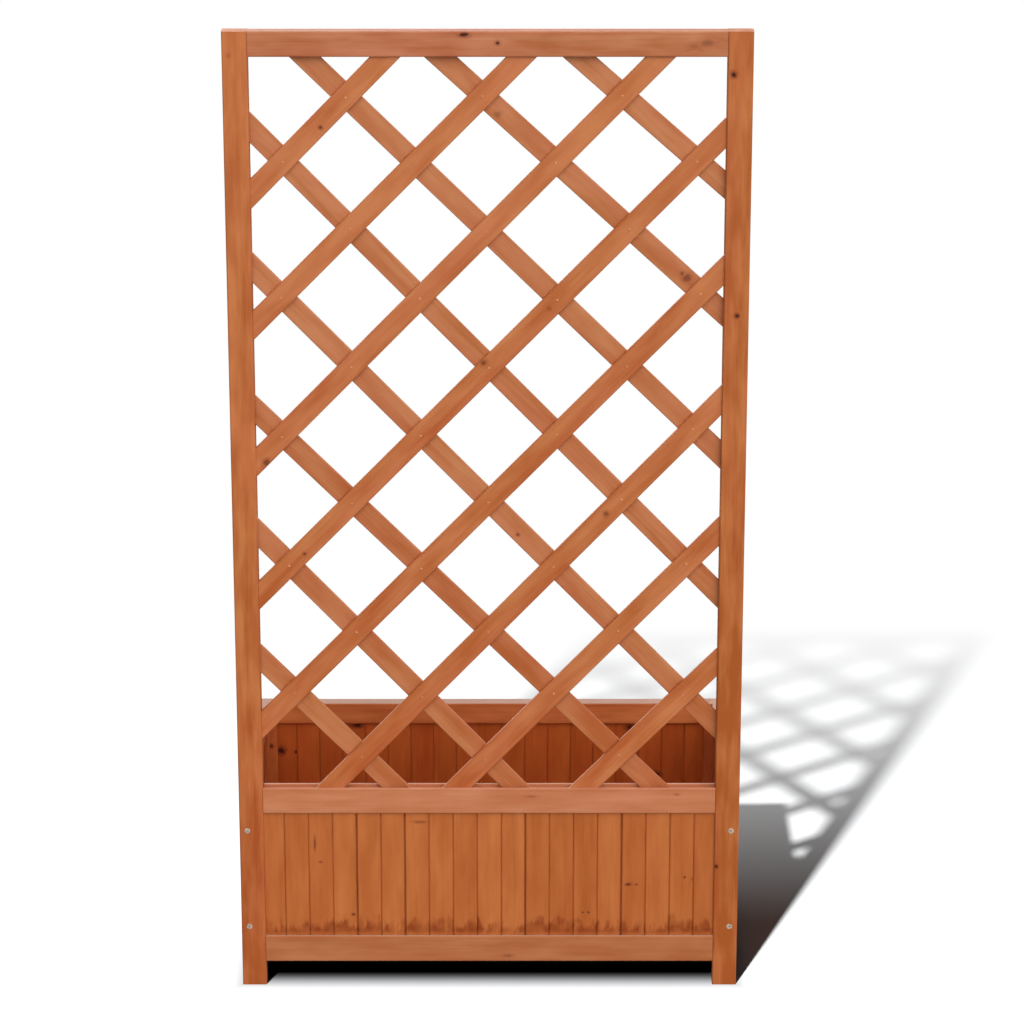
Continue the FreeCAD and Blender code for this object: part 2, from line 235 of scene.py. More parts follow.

# %% [markdown]
# ## The stains
#
# The whole planter was dipped in one orange-brown stain, but boards from different
# trees take it differently: the rails came out pinker and the posts more orange. The
# faces inside the box get a redder, deeper copy of the stain, which is painted shade for
# the inside of the box. Each finish is three colours: pale where the wood took little
# stain, rich where it took a lot, and the deep tone where stain has gathered and dried.
#
# A second list says how patchily each wood drinks: planed slats are even, the thick
# posts are not. The slats of the rear and side walls, which share a node with their
# row, are of lesser timber and drink more patchily than those in front.

# %% Stain colours
STAINS = {
    "post": ("#C87846", "#A65322", "#7A3012"),
    "top rail": ("#C9845F", "#AE633B", "#98482A"),
    "mid rail": ("#D18B67", "#B76B40", "#A44E2C"),
    "bottom rail": ("#B8734A", "#A3592D", "#9A4C22"),
    "slat": ("#C7743E", "#9E4B17", "#86380F"),
    "front lath": ("#C97C4E", "#AF5A2A", "#8C4420"),
    "rear lath": ("#C78056", "#AE5C2E", "#8A4424"),
    "rear frame": ("#CB7342", "#B35B2C", "#6E2A12"),
    "side frame": ("#C67040", "#AE582A", "#6C2A14"),
    "floor": ("#A26037", "#87431E", "#54220E"),
    # Painted shade: a darker, redder copy of the slat stain, for faces that look into the box.
    "inside": ("#BE5E28", "#A34819", "#5A200C"),
}
PATCHINESS = {
    "post": 0.6, "top rail": 0.6, "mid rail": 0.4, "bottom rail": 0.5, "slat": 0.28,
    "front lath": 0.6, "rear lath": 0.5, "rear frame": 0.7, "side frame": 0.7, "floor": 1.0,
}
ROW_PATCHINESS = 1.7              # times a slat's, in the rear and side walls
FIRST_WORDS = {
    "front_post": "post", "trellis_top_rail": "top rail", "front_mid_rail": "mid rail",
    "front_bottom_rail": "bottom rail", "lath_front": "front lath",
    "lath_rear": "rear lath", "rear": "rear frame", "left_side": "side frame",
    "right_side": "side frame", "floor": "floor",
}


def stain_of(board):
    """The name of a board's stain."""
    if "slat" in board:
        return "slat"
    return next(stain for words, stain in FIRST_WORDS.items() if board.startswith(words))


def patchiness_of(board):
    """How patchily a board drinks, from 0, which is evenly."""
    return PATCHINESS[stain_of(board)] * (ROW_PATCHINESS if board.endswith("slats") else 1)


timber = sorted(name for name in nodes if name not in ("corner_screws", "lattice_nails"))
for stain in PATCHINESS:
    print(stain + ":", sum(stain_of(board) == stain for board in timber), "nodes")
print("the inside is a second stain on the slats")

# %% [markdown]
# ## Knots
#
# A knot is the root of a branch. It is a small dark oval, and the rings swing round it.
# A few are large enough to be known by their places, so those are written down, in
# millimetres to the right of the middle and above the ground, with half their width
# and height and how dark they are. Boards behind the front frame that have none written
# down get none, one or two by a seeded draw, which gives the same planter every time.

# %% Knot places
KNOTS = {
    "trellis_top_rail": ((-31, 1366, 6, 3, 0.95), (13, 1355, 3, 2.5, 0.85),
                         (288, 1355, 9, 4, 0.35), (271, 1351, 6, 4, 0.2)),
    "front_post_left": ((-341, 1338, 2.5, 3, 0.2),),
    "front_post_right": ((324, 1313, 3.5, 3.5, 1), (334, 984, 3, 3, 0.9),
                         (319, 182, 2.5, 2.5, 0.9)),
    "lath_front_1": ((-221, 1241, 2.2, 1.8, 0.7),),
    "lath_rear_2": ((267, 1034, 3.5, 5, 0.5), (260, 1040, 2, 2, 0.5),
                    (13, 1257, 3, 3, 0.3)),
    "lath_front_3": ((-302, 776, 4, 3, 0.6),),
    "lath_front_4": ((-6, 917, 3, 3, 0.55), (-252, 645, 1.7, 1.7, 0.6),
                     (82, 993, 2, 3, 0.3)),
    "lath_front_6": ((160, 703, 3, 2.5, 0.5),),
    "lath_rear_5": ((40, 671, 1.7, 1.7, 0.6),),
    "front_bottom_rail": ((26, 45, 8, 2, 0.35),),
    "front_mid_rail": ((58, 288, 9, 1.5, 0.3), (262, 291, 4, 1.5, 0.35)),
    "front_slat_03": ((-245, 215, 1.6, 9, 0.55), (-237, 187, 2.3, 1.6, 0.5)),
    "front_slat_04": ((-192, 107, 2.2, 1.8, 0.7),),
    "front_slat_07": ((-97, 248, 9, 2, 0.35), (-68, 166, 2, 5, 0.4)),
    "front_slat_14": ((132, 110, 1.4, 1.4, 0.8), (140, 110, 1.4, 1.4, 0.8)),
    "front_slat_16": ((196, 153, 3.5, 2, 0.8), (207, 153, 2, 1.6, 0.5)),
    "front_slat_18": ((275, 164, 1.5, 1.5, 0.8), (287, 161, 2, 1.5, 0.6)),
    "rear_slats": ((-311, 223, 5, 5, 0.95), (-289, 221, 2, 2, 0.9), (-197, 263, 6, 3, 0.9),
                   (206, 260, 5, 4, 0.8), (147, 157, 5, 3, 0.9), (246, 185, 6, 4, 0.9)),
}
DRAWN_KNOTS = (0, 1, 1, 2)        # how many on a board; each is as likely
DRAWN_WIDTH = (1.8, 4.5)          # half a knot's width, in millimetres
DRAWN_LENGTH = 1.3                # times its width
DRAWN_PLACE = (0.85, 0.6)         # furthest from the middle, as shares of half the board
DRAWN_DARKNESS = (0.7, 0.95)


def knots_of(board, turn, middle, half, draw):
    """Knots as their places, half sizes in the board's own directions, and darkness."""
    knots = []
    for x, z, half_width, half_height, dark in KNOTS.get(board, ()):
        centre = turn @ Vector((x, 0, z)) * MM - middle
        half_length, half_breadth = (
            abs(turn[axis].x) * half_width + abs(turn[axis].z) * half_height
            for axis in (0, 1))
        knots.append((centre.x, centre.y, half_length * MM, half_breadth * MM, dark))
    if board not in KNOTS and not board.startswith(("front", "lath", "trellis")):
        for _ in range(draw.choice(DRAWN_KNOTS)):
            size = draw.uniform(*DRAWN_WIDTH) * MM
            along = draw.uniform(-DRAWN_PLACE[0], DRAWN_PLACE[0]) * half.x
            across = draw.uniform(-DRAWN_PLACE[1], DRAWN_PLACE[1]) * half.y
            knots.append((along, across, DRAWN_LENGTH * size, size,
                          draw.uniform(*DRAWN_DARKNESS)))
    return knots


print(sum(len(places) for places in KNOTS.values()), "knots have a place of their own")

# %% [markdown]
# ## Slats in a row
#
# The front slats are nodes of their own, but those of the other walls share one node.
# Cut from one pattern they would look like a single sheet of wood, so the place across
# the row is divided into slats, each slat's place is measured from its own middle, and
# its grain is shifted by a step that no other slat has.

# %% One place and one tone for each slat of a row
SLAT_PITCH = 33.8 * MM
SLAT_STEP = 1.7                   # metres along the grain, from slat to slat


def slat_rows(tree, place, half):
    """A place on one slat, the place across it, and its tone from 0 to 1."""
    split = add(tree, "SeparateXYZ", None, {0: place}).node.outputs
    from_end = add(tree, "Math", {"operation": "ADD"}, {0: split[1], 1: half.y})
    steps = add(tree, "Math", {"operation": "DIVIDE"}, {0: from_end, 1: SLAT_PITCH})
    number = add(tree, "Math", {"operation": "FLOOR"}, {0: steps})
    part = add(tree, "Math", {"operation": "FRACT"}, {0: steps})
    centred = add(tree, "Math", {"operation": "SUBTRACT"}, {0: part, 1: 0.5})
    across = add(tree, "Math", {"operation": "MULTIPLY"}, {0: centred, 1: SLAT_PITCH})
    along = add(tree, "Math", {"operation": "MULTIPLY_ADD"},
                {0: number, 1: SLAT_STEP, 2: split[0]})
    own = add(tree, "CombineXYZ", None, {0: along, 1: across, 2: split[2]})
    tone = add(tree, "TexWhiteNoise", {"noise_dimensions": "1D"}, {"W": number})
    return own, across, tone


print("slats", SLAT_PITCH / MM, "mm apart")

# %% [markdown]
# ## The look of a knot
#
# Seen close, a knot has a black-brown heart, a rim where resin stained the wood round
# it, and rings that part to let it through. One distance serves all three: how far a
# point is from the knot's middle, counted in the knot's own half sizes. A little noise
# on that distance makes the oval uneven.

# %% Knot patterns
# Where each one ends and where it is full, in a knot's half sizes
HEART_REACH = (1.2, 0.5)
RIM_REACH = (2.3, 1.0)
SWING_REACH = (3.2, 0.8)
KNOT_GRIT = 5 * MM
UNEVEN = 0.9


def knot_patterns(tree, place, knots):
    """The dark hearts, the stained rims, and how far the rings are pushed out."""
    heart, rim, push = 0.0, 0.0, 0.0
    if not knots:
        return heart, rim, push
    scaled = add(tree, "VectorMath", {"operation": "SCALE"},
                 {0: place, "Scale": 1 / KNOT_GRIT})
    noise = add(tree, "TexNoise", None, {"Vector": scaled, "Scale": 1.0, "Detail": 1.0})
    uneven = add(tree, "Math", {"operation": "MULTIPLY_ADD"},
                 {0: noise, 1: UNEVEN, 2: -UNEVEN / 2})
    for along, across, half_length, half_width, dark in knots:
        offset = add(tree, "VectorMath", {"operation": "SUBTRACT"},
                     {0: place, 1: (along, across, 0)})
        sized = add(tree, "VectorMath", {"operation": "MULTIPLY"},
                    {0: offset, 1: (1 / half_length, 1 / half_width, 0)})
        radii = add(tree, "VectorMath", {"operation": "LENGTH"}, {0: sized}, "Value")
        ragged = add(tree, "Math", {"operation": "ADD"}, {0: radii, 1: uneven})
        this_heart, this_rim, swing = (
            add(tree, "MapRange", {"interpolation_type": "SMOOTHSTEP"}, {
                "Value": away, "From Min": reach[0], "From Max": reach[1], "To Max": most})
            for away, reach, most in ((ragged, HEART_REACH, dark), (ragged, RIM_REACH, dark),
                                      (radii, SWING_REACH, half_width)))
        heart = add(tree, "Math", {"operation": "MAXIMUM"}, {0: this_heart, 1: heart})
        rim = add(tree, "Math", {"operation": "MAXIMUM"}, {0: this_rim, 1: rim})
        push = add(tree, "Math", {"operation": "ADD"}, {0: swing, 1: push})
    return heart, rim, push


print("a knot's rings swing out to", SWING_REACH[0], "times its size")

# %% [markdown]
# ## Stain along the edges
#
# Stain runs before it dries. It stays in the corners and joints, thick in one place and
# thin in the next, so a patchy noise decides how dark an edge is.
#
# Not every joint is dark. Where two slats meet tightly their edges are made paler than
# the rest: painted light that offsets the shade in the V of the joint. Four joints in
# front stand open and have filled with stain. One number for each edge tells which:
# above 0 it is dark, below 0 it is lightened.

# %% Edges
EDGE_WIDTH = 2.4 * MM
RAIL_EDGE_WIDTH = 7 * MM
EDGE_PATCH_SIZE = (55 * MM, 12 * MM, 12 * MM)
EDGE_NOISE = (0.38, 0.68)         # the noise's values where stain is thin and thick
THIN = 0.3                        # how dark thin stain is, out of 1
OPEN_JOINTS = (4, 6, 11, 15)      # each after so many slats, from the left
# Below 0 an edge is given a paler colour: painted light that offsets the shade in its joint.
FILLED, UNTOUCHED, LIGHTENED_EDGE = 1.0, 0.0, -1.0
ROW_EDGES = (0.45, 0.45)          # on the slats of the other walls
PLAIN_EDGES = (0.3, 0.3)          # on all other boards


def edge_strengths(board, draw):
    """How dark a board's left and right edge are."""
    if board.startswith("front_slat"):
        number = int(board[-2:])
        return [FILLED if joint in OPEN_JOINTS else draw.uniform(LIGHTENED_EDGE, UNTOUCHED)
                for joint in (number - 1, number)]
    return ROW_EDGES if board.endswith("slats") else PLAIN_EDGES


def edge_stain(tree, shifted, across, half_width, edge_width, strengths):
    """Stain along both long edges of a board, in patches."""
    aside = add(tree, "Math", {"operation": "ABSOLUTE"}, {0: across})
    edge = add(tree, "MapRange", {"interpolation_type": "SMOOTHSTEP"}, {
        "Value": aside, "From Min": half_width - edge_width, "From Max": half_width})
    scaled = add(tree, "VectorMath", {"operation": "MULTIPLY"},
                 {0: shifted, 1: cells(EDGE_PATCH_SIZE)})
    noise = add(tree, "TexNoise", None, {"Vector": scaled, "Scale": 1.0, "Detail": 2.0})
    patchy = add(tree, "MapRange", None, {
        "Value": noise, "From Min": EDGE_NOISE[0], "From Max": EDGE_NOISE[1],
        "To Min": THIN})
    to_the_right = add(tree, "Math", {"operation": "GREATER_THAN"}, {0: across, 1: 0.0})
    strength = add(tree, "MapRange", None, {
        "Value": to_the_right, "To Min": strengths[0], "To Max": strengths[1]})
    stained = add(tree, "Math", {"operation": "MULTIPLY"}, {0: edge, 1: patchy})
    return add(tree, "Math", {"operation": "MULTIPLY"}, {0: stained, 1: strength})


print("front joints filled with stain:", len(OPEN_JOINTS))

# %% [markdown]
# ## Stain in the slats' feet
#
# Stain also climbs: the end grain of a slat stands in the rail's groove like a bundle
# of straws, and drinks. That leaves ragged tongues up the slats' feet. One noise draws
# how high they reach and a finer one how wet they got. At the very bottom, where the
# rail's edge was wiped, they are paler again.

# %% Feet
SLAT_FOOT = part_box("front_bottom_rail")[1].z     # where the slats rise out of their rail
NOISE = (0.3, 0.7)                # nearly all of a noise's values lie between these
TONGUE_SIZE = (40 * MM, 13 * MM, 30 * MM)
TONGUE_HEIGHTS = (0.0, 30 * MM)
TONGUE_TIP = (10 * MM, -8 * MM)   # so far above a tongue's height dry, so far below wet
WIPED_HEIGHT = 8 * MM
WIPED = 0.25                      # what the wiping left
PUDDLE_SIZE = (18 * MM, 14 * MM, 30 * MM)
PUDDLE_NOISE = (0.34, 0.62)
PUDDLES = (0.5, 0.95)             # the driest and the wettest place in a tongue


def foot_stain(tree, coordinates, shifted):
    """Stain that the foot of a slat has drunk, from 0 to 1."""
    world = add(tree, "SeparateXYZ", None, {0: coordinates}).node.outputs
    height = add(tree, "Math", {"operation": "SUBTRACT"}, {0: world[2], 1: SLAT_FOOT})
    scaled = add(tree, "VectorMath", {"operation": "MULTIPLY"},
                 {0: shifted, 1: cells(TONGUE_SIZE)})
    noise = add(tree, "TexNoise", None, {
        "Vector": scaled, "Scale": 1.0, "Detail": 3.0, "Roughness": 0.6})
    reach = add(tree, "MapRange", None, {
        "Value": noise, "From Min": NOISE[0], "From Max": NOISE[1],
        "To Min": TONGUE_HEIGHTS[0], "To Max": TONGUE_HEIGHTS[1]})
    above = add(tree, "Math", {"operation": "SUBTRACT"}, {0: height, 1: reach})
    drunk = add(tree, "MapRange", {"interpolation_type": "SMOOTHSTEP"}, {
        "Value": above, "From Min": TONGUE_TIP[0], "From Max": TONGUE_TIP[1]})
    wiped = add(tree, "MapRange", {"interpolation_type": "SMOOTHSTEP"}, {
        "Value": height, "From Min": 0.0, "From Max": WIPED_HEIGHT, "To Min": WIPED})
    scaled = add(tree, "VectorMath", {"operation": "MULTIPLY"},
                 {0: shifted, 1: cells(PUDDLE_SIZE)})
    noise = add(tree, "TexNoise", None, {"Vector": scaled, "Scale": 1.0, "Detail": 2.0})
    puddles = add(tree, "MapRange", None, {
        "Value": noise, "From Min": PUDDLE_NOISE[0], "From Max": PUDDLE_NOISE[1],
        "To Min": PUDDLES[0], "To Max": PUDDLES[1]})
    patchy = add(tree, "Math", {"operation": "MULTIPLY"}, {0: drunk, 1: puddles})
    return add(tree, "Math", {"operation": "MULTIPLY"}, {0: patchy, 1: wiped})


print("slats rise from their rail at", round(SLAT_FOOT / MM), "mm")

# %% [markdown]
# ## How much stain the wood took
#
# The board's own tone, the blotches, fibres and rings add up to one number, how much
# stain the wood took there: 0 gives the pale colour and 1 the rich one. Lightened edges
# take less, which paints light into the joints. On the tall posts and the laths the
# number also falls with height, so they are paler towards the top.

# %% Stain taken
TONES = (0.24, 0.6)               # the palest and the richest board
SWINGS = {"Blotches": 0.66, "Fibres": 0.2}
RING_SHARE = (0.15, 0.25)         # in even wood, and what patchiness adds
HEIGHT_TREND = 0.45                        # how much less stain a metre further up
HEIGHT_TREND_MIDDLE = 0.7                  # metres above the ground


def stain_taken(tree, board, coordinates, grain, tone, edge_light):
    """How much stain each place of a board took."""
    patchiness = patchiness_of(board)
    took = add(tree, "MapRange", None,
               {"Value": tone, "To Min": TONES[0], "To Max": TONES[1]})
    took = add(tree, "Math", {"operation": "ADD"}, {0: took, 1: edge_light})
    for pattern, swing in SWINGS.items():
        share = add(tree, "MapRange", None, {
            "Value": grain[pattern], "From Min": NOISE[0], "From Max": NOISE[1],
            "To Min": -swing * patchiness, "To Max": swing * patchiness})
        took = add(tree, "Math", {"operation": "ADD"}, {0: took, 1: share})
    ring_share = RING_SHARE[0] + RING_SHARE[1] * patchiness
    took = add(tree, "Math", {"operation": "MULTIPLY_ADD"},
               {0: grain["Rings"], 1: ring_share, 2: took})
    if board.startswith(("front_post", "lath")):
        height = add(tree, "SeparateXYZ", None, {0: coordinates}).node.outputs[2]
        took = add(tree, "Math", {"operation": "MULTIPLY_ADD"},
                   {0: height, 1: -HEIGHT_TREND, 2: took})
        took = add(tree, "Math", {"operation": "ADD"}, {0: took, 1: HEIGHT_TREND * HEIGHT_TREND_MIDDLE})
    return took


print("the richest board takes", TONES[1], "and the palest", TONES[0])

# %% [markdown]
# ## From stain to colour
#
# That number blends the pale colour into the rich one. Every wall of slats has a darker,
# redder copy of its stain on the face that looks into the box: painted shade for the
# inside of the box. The drift turns the hue a little, from heartwood's red to sapwood's
# yellow.
#
# Faces that look straight up are mixed towards a pale grey: a painted highlight for the
# sheen and strong top light they catch. It is faint at the trellis's top and stronger
# round the rim of the box.

# %% Colours, inside, outside and on top
INWARD = {"front": BACK, "rear": -BACK, "left": RIGHT, "right": -RIGHT}
LOOKS_IN = 0.3                    # how far a normal is turned inwards, out of 1
HUE_SWING = 0.005
# Painted highlight: faces that look up are mixed towards this colour, for top light and sheen.
TOP_HIGHLIGHT = "#B8ACA0"
TOP_HIGHLIGHT_SHARE = {"post": 0.15, "top rail": 0.15, "mid rail": 0.22}
TOP_HIGHLIGHT_ELSEWHERE = 0.48
LOOKS_UP = 0.8                    # how far a normal is turned up, out of 1


def inside_of_box(tree, facing, board):
    """1 where a wall's face looks into the box, else 0."""
    inward = INWARD[board.split("_")[0]]
    turned = add(tree, "VectorMath", {"operation": "DOT_PRODUCT"}, {0: facing, 1: inward},
                 "Value")
    return add(tree, "Math", {"operation": "GREATER_THAN"}, {0: turned, 1: LOOKS_IN})


def stain_colours(tree, board, facing, took, drift):
    """The colour of wood that took so much stain, and that of gathered stain."""
    pale, rich, deep = map(linear, STAINS[stain_of(board)])
    # Faces that look into the box take the inside stain, which paints in their shade.
    if "slat" in board:
        inside = inside_of_box(tree, facing, board)
        pale, rich, deep = (
            add(tree, "Mix", {"data_type": "RGBA"}, {0: inside, 6: outer, 7: linear(inner)}, 2)
            for outer, inner in zip((pale, rich, deep), STAINS["inside"]))
    blended = add(tree, "Mix", {"data_type": "RGBA"}, {0: took, 6: pale, 7: rich}, 2)
    swing = HUE_SWING * patchiness_of(board)
    hue = add(tree, "MapRange", None, {
        "Value": drift, "From Min": NOISE[0], "From Max": NOISE[1],
        "To Min": 0.5 - swing, "To Max": 0.5 + swing})
    return add(tree, "HueSaturation", None, {"Hue": hue, "Color": blended}), deep


def highlighted(tree, board, facing, colour):
    """The colour, with a painted highlight where a face looks up."""
    upward = add(tree, "SeparateXYZ", None, {0: facing}).node.outputs[2]
    highlight = add(tree, "MapRange", {"interpolation_type": "SMOOTHSTEP"}, {
        "Value": upward, "From Min": LOOKS_UP, "From Max": 1.0,
        "To Max": TOP_HIGHLIGHT_SHARE.get(stain_of(board), TOP_HIGHLIGHT_ELSEWHERE)})
    return add(tree, "Mix", {"data_type": "RGBA"},
               {0: highlight, 6: colour, 7: linear(TOP_HIGHLIGHT)}, 2)


print("the rim of the box is bleached by", TOP_HIGHLIGHT_ELSEWHERE)

# %% [markdown]
# ## A board of stained fir
#
# Now a function can dress any board. It turns Object coordinates into the board's own
# directions, so that the grain follows it, and shifts the pattern by a seeded amount, so
# that no two boards match. The wood's colour comes first, then the stain that gathered
# on it, then the knots, and last a painted highlight on the faces that look up.
#
# The stain is a thin satin film, half worn into the wood, so the shine is low and no
# sharper than the fibres let it be.

# %% The board material
SHIFT = (2, 40)                   # metres along the trunk that a board is cut from
PITH_ASIDE = 30                   # the furthest that the pith lies to a side, in mm
PITH_DEPTH = (20, 60)             # how far it lies behind or before the board, in mm
HEART = "#34140A"
RESIN = 0.6                       # how deep the stain is in a knot's rim, out of 1
RELIEF = 0.12 * MM                # how far fibres and rings stand out
RELIEF_STRENGTH = 0.35
ROUGHNESS = (0.62, 0.48)          # between the fibres, and on them
FILM_IOR = 1.45
FILM_SHINE = 0.2                  # 0.5 would be a whole film


def dress_board(board):
    """Make a board's own material and put it on."""
    turn, middle, half = measured(board)
    draw = random.Random(board)
    material = bpy.data.materials.new(f"Stained fir, {board.replace('_', ' ')}")
    material.use_nodes = True
    tree = material.node_tree
    tree.nodes.clear()

    coordinates = add(tree, "TexCoord", None, None, "Object")
    place = add(tree, "Mapping", None, {
        "Vector": coordinates, "Location": -middle, "Rotation": turn.to_euler()})
    if board.endswith("slats"):
        own, across, tone = slat_rows(tree, place, half)
        half_width = SLAT_PITCH / 2
    else:
        own, tone = place, draw.random()
        across = add(tree, "SeparateXYZ", None, {0: place}).node.outputs[1]
        half_width = half.y
    shifted = add(tree, "VectorMath", {"operation": "ADD"},
                  {0: own, 1: (draw.uniform(*SHIFT), 0, 0)})
    aside = draw.uniform(-PITH_ASIDE, PITH_ASIDE) * MM
    depth = draw.choice((-1, 1)) * draw.uniform(*PITH_DEPTH) * MM
    heart, rim, push = knot_patterns(tree, place, knots_of(board, turn, middle, half, draw))
    grain = add(tree, "Group", {"node_tree": grain_group},
                {"Place": shifted, "Pith": (0, aside, depth), "Bend": push}).node.outputs

    edges = edge_stain(tree, shifted, across, half_width,
                       RAIL_EDGE_WIDTH if "rail" in board else EDGE_WIDTH,
                       edge_strengths(board, draw))
    # The negative part of the edges lowers the stain taken: painted light in the joints.
    edge_light = add(tree, "Math", {"operation": "MINIMUM"}, {0: edges, 1: 0.0})
    took = stain_taken(tree, board, coordinates, grain, tone, edge_light)
    facing = add(tree, "NewGeometry", None, None, "Normal")
    colour, deep = stain_colours(tree, board, facing, took, grain["Drift"])

    resin = add(tree, "Math", {"operation": "MULTIPLY"}, {0: rim, 1: RESIN})
    gathered = add(tree, "Math", {"operation": "MAXIMUM"}, {0: edges, 1: resin})
    if "slat" in board:
        foot = foot_stain(tree, coordinates, shifted)
        gathered = add(tree, "Math", {"operation": "MAXIMUM"}, {0: gathered, 1: foot})
    colour = add(tree, "Mix", {"data_type": "RGBA"}, {0: gathered, 6: colour, 7: deep}, 2)
    colour = add(tree, "Mix", {"data_type": "RGBA"},
                 {0: heart, 6: colour, 7: linear(HEART)}, 2)
    # Last, the painted highlight on faces that look up.
    colour = highlighted(tree, board, facing, colour)

    relief = add(tree, "Math", {"operation": "ADD"},
                 {0: grain["Fibres"], 1: grain["Rings"]})
    bump = add(tree, "Bump", None,
               {"Strength": RELIEF_STRENGTH, "Distance": RELIEF, "Height": relief})
    rough = add(tree, "MapRange", None, {
        "Value": grain["Fibres"], "To Min": ROUGHNESS[0], "To Max": ROUGHNESS[1]})
    surface = add(tree, "BsdfPrincipled", None, {
        "Base Color": colour, "Roughness": rough, "IOR": FILM_IOR,
        "Specular IOR Level": FILM_SHINE, "Normal": bump})
    add(tree, "OutputMaterial", None, {"Surface": surface})
    for slot in nodes[board].material_slots:
        slot.material = material
    return len(tree.nodes)


counts = [dress_board(board) for board in timber]
print(len(timber), "pieces of timber dressed, with", min(counts), "to", max(counts),
      "shader nodes each")

# %% [markdown]
# ## Zinc on the screws and nails
#
# Screws and nails for outdoor work are plated with zinc. It is a metal, so its colour is
# the colour of its reflections, and the plating's fine crystals, the spangle, make some
# specks duller than others. The screws went in last and show bare zinc. The nails were
# driven before the planter was dipped, so a film of stain lies over theirs.

# %% Zinc-plated steel
SPANGLE = 1.1 * MM
TARNISH_SIZE = 3.0 * MM
TARNISH_NOISE = (0.35, 0.65)      # the noise's values where zinc is bright and dull
ZINC_ROUGHNESS = (0.32, 0.55)     # of the shiniest and the dullest speck


def make_zinc(name, bright, dull):
    """Zinc plating from a bright and a dull colour."""
    zinc = bpy.data.materials.new(name)
    zinc.use_nodes = True
    tree = zinc.node_tree
    tree.nodes.clear()
    place = add(tree, "TexCoord", None, None, "Object")
    specks = add(tree, "TexVoronoi", None, {"Vector": place, "Scale": 1 / SPANGLE}, "Color")
    speck = add(tree, "SeparateXYZ", None, {0: specks}).node.outputs[0]
    rough = add(tree, "MapRange", None, {
        "Value": speck, "To Min": ZINC_ROUGHNESS[0], "To Max": ZINC_ROUGHNESS[1]})
    tarnish = add(tree, "TexNoise", None,
                  {"Vector": place, "Scale": 1 / TARNISH_SIZE, "Detail": 2.0})
    clouded = add(tree, "MapRange", None, {
        "Value": tarnish, "From Min": TARNISH_NOISE[0], "From Max": TARNISH_NOISE[1]})
    colour = add(tree, "Mix", {"data_type": "RGBA"},
                 {0: clouded, 6: linear(bright), 7: linear(dull)}, 2)
    surface = add(tree, "BsdfPrincipled", None, {
        "Base Color": colour, "Metallic": 1.0, "Roughness": rough})
    add(tree, "OutputMaterial", None, {"Surface": surface})
    return zinc


for name, finish in (
        ("corner_screws", make_zinc("Zinc-plated steel", "#BCADA0", "#8A7D70")),
        ("lattice_nails", make_zinc("Zinc-plated steel under stain", "#C98C64", "#AA6E48"))):
    for slot in nodes[name].material_slots:
        slot.material = finish
    print(name, "are", finish.name)

# %% [markdown]
# ## The floor
#
# A studio floor is a wide pale sheet, with no edge in view. Its strong lamp makes it
# white to the camera. To the timber it is darker, or it would light the undersides as
# strongly as the lamps light the faces: Light Path tells the two kinds of ray apart.
#
# Two painted touches shape the shadow on it. Under the box the paper is painted nearly
# black, a painted shadow that turns pale softly at the box's rim and seats the legs on
# the floor. This painted shadow reaches further back than the box, and covers the light
# that slips through the floor boards' gaps.
# Behind the planter the paper glows more and more white to the camera, painted light
# that keeps the lattice's shadow strong at its root and fades it out.

# %% A pale floor
FLOOR_SIZE = 60.0                 # metres
PAPER_SEEN, PAPER_BOUNCING = "#8B8C8D", "#4C4C4C"
# The painted shadow under the box: where it is darkest and pale, how dark, how far back it
# reaches.
PAINTED_SHADOW_EDGE = (-40 * MM, 26 * MM)       # out from the box's rim: where it is darkest, and pale
PAINTED_SHADOW_DARKEST = 0.012             # what is left of the paper's colour there
SHADED_BEHIND = 120 * MM
# Painted light: behind the middle the paper turns to white emission for the camera.
FADE = (0.03, 1.33)               # metres behind the middle: all paper, all white
FADE_CURVE = 1.3                  # above 1 it starts slowly
WHITE = (1, 1, 1, 1)


def seen_directly(tree):
    """1 for rays from the camera or a reflection, 0 for light that bounces on."""
    rays = add(tree, "LightPath").node.outputs
    return add(tree, "Math", {"operation": "MAXIMUM"},
               {0: rays["Is Camera Ray"], 1: rays["Is Glossy Ray"]})


def painted_shadow_under_box(tree, coordinates):
    """A painted shadow: from the darkest under the box to 1 in the open."""
    stretch = Vector((0, SHADED_BEHIND / 2, 0))
    centred = add(tree, "VectorMath", {"operation": "SUBTRACT"},
                  {0: coordinates, 1: stretch})
    aside = add(tree, "VectorMath", {"operation": "ABSOLUTE"}, {0: centred})
    beyond = add(tree, "VectorMath", {"operation": "SUBTRACT"},
                 {0: aside, 1: Vector(cad_box[1]) + stretch})
    beyond = add(tree, "SeparateXYZ", None, {0: beyond}).node.outputs
    outside = add(tree, "Math", {"operation": "MAXIMUM"}, {0: beyond[0], 1: beyond[1]})
    return add(tree, "MapRange", {"interpolation_type": "SMOOTHSTEP"}, {
        "Value": outside, "From Min": PAINTED_SHADOW_EDGE[0], "From Max": PAINTED_SHADOW_EDGE[1],
        "To Min": PAINTED_SHADOW_DARKEST})


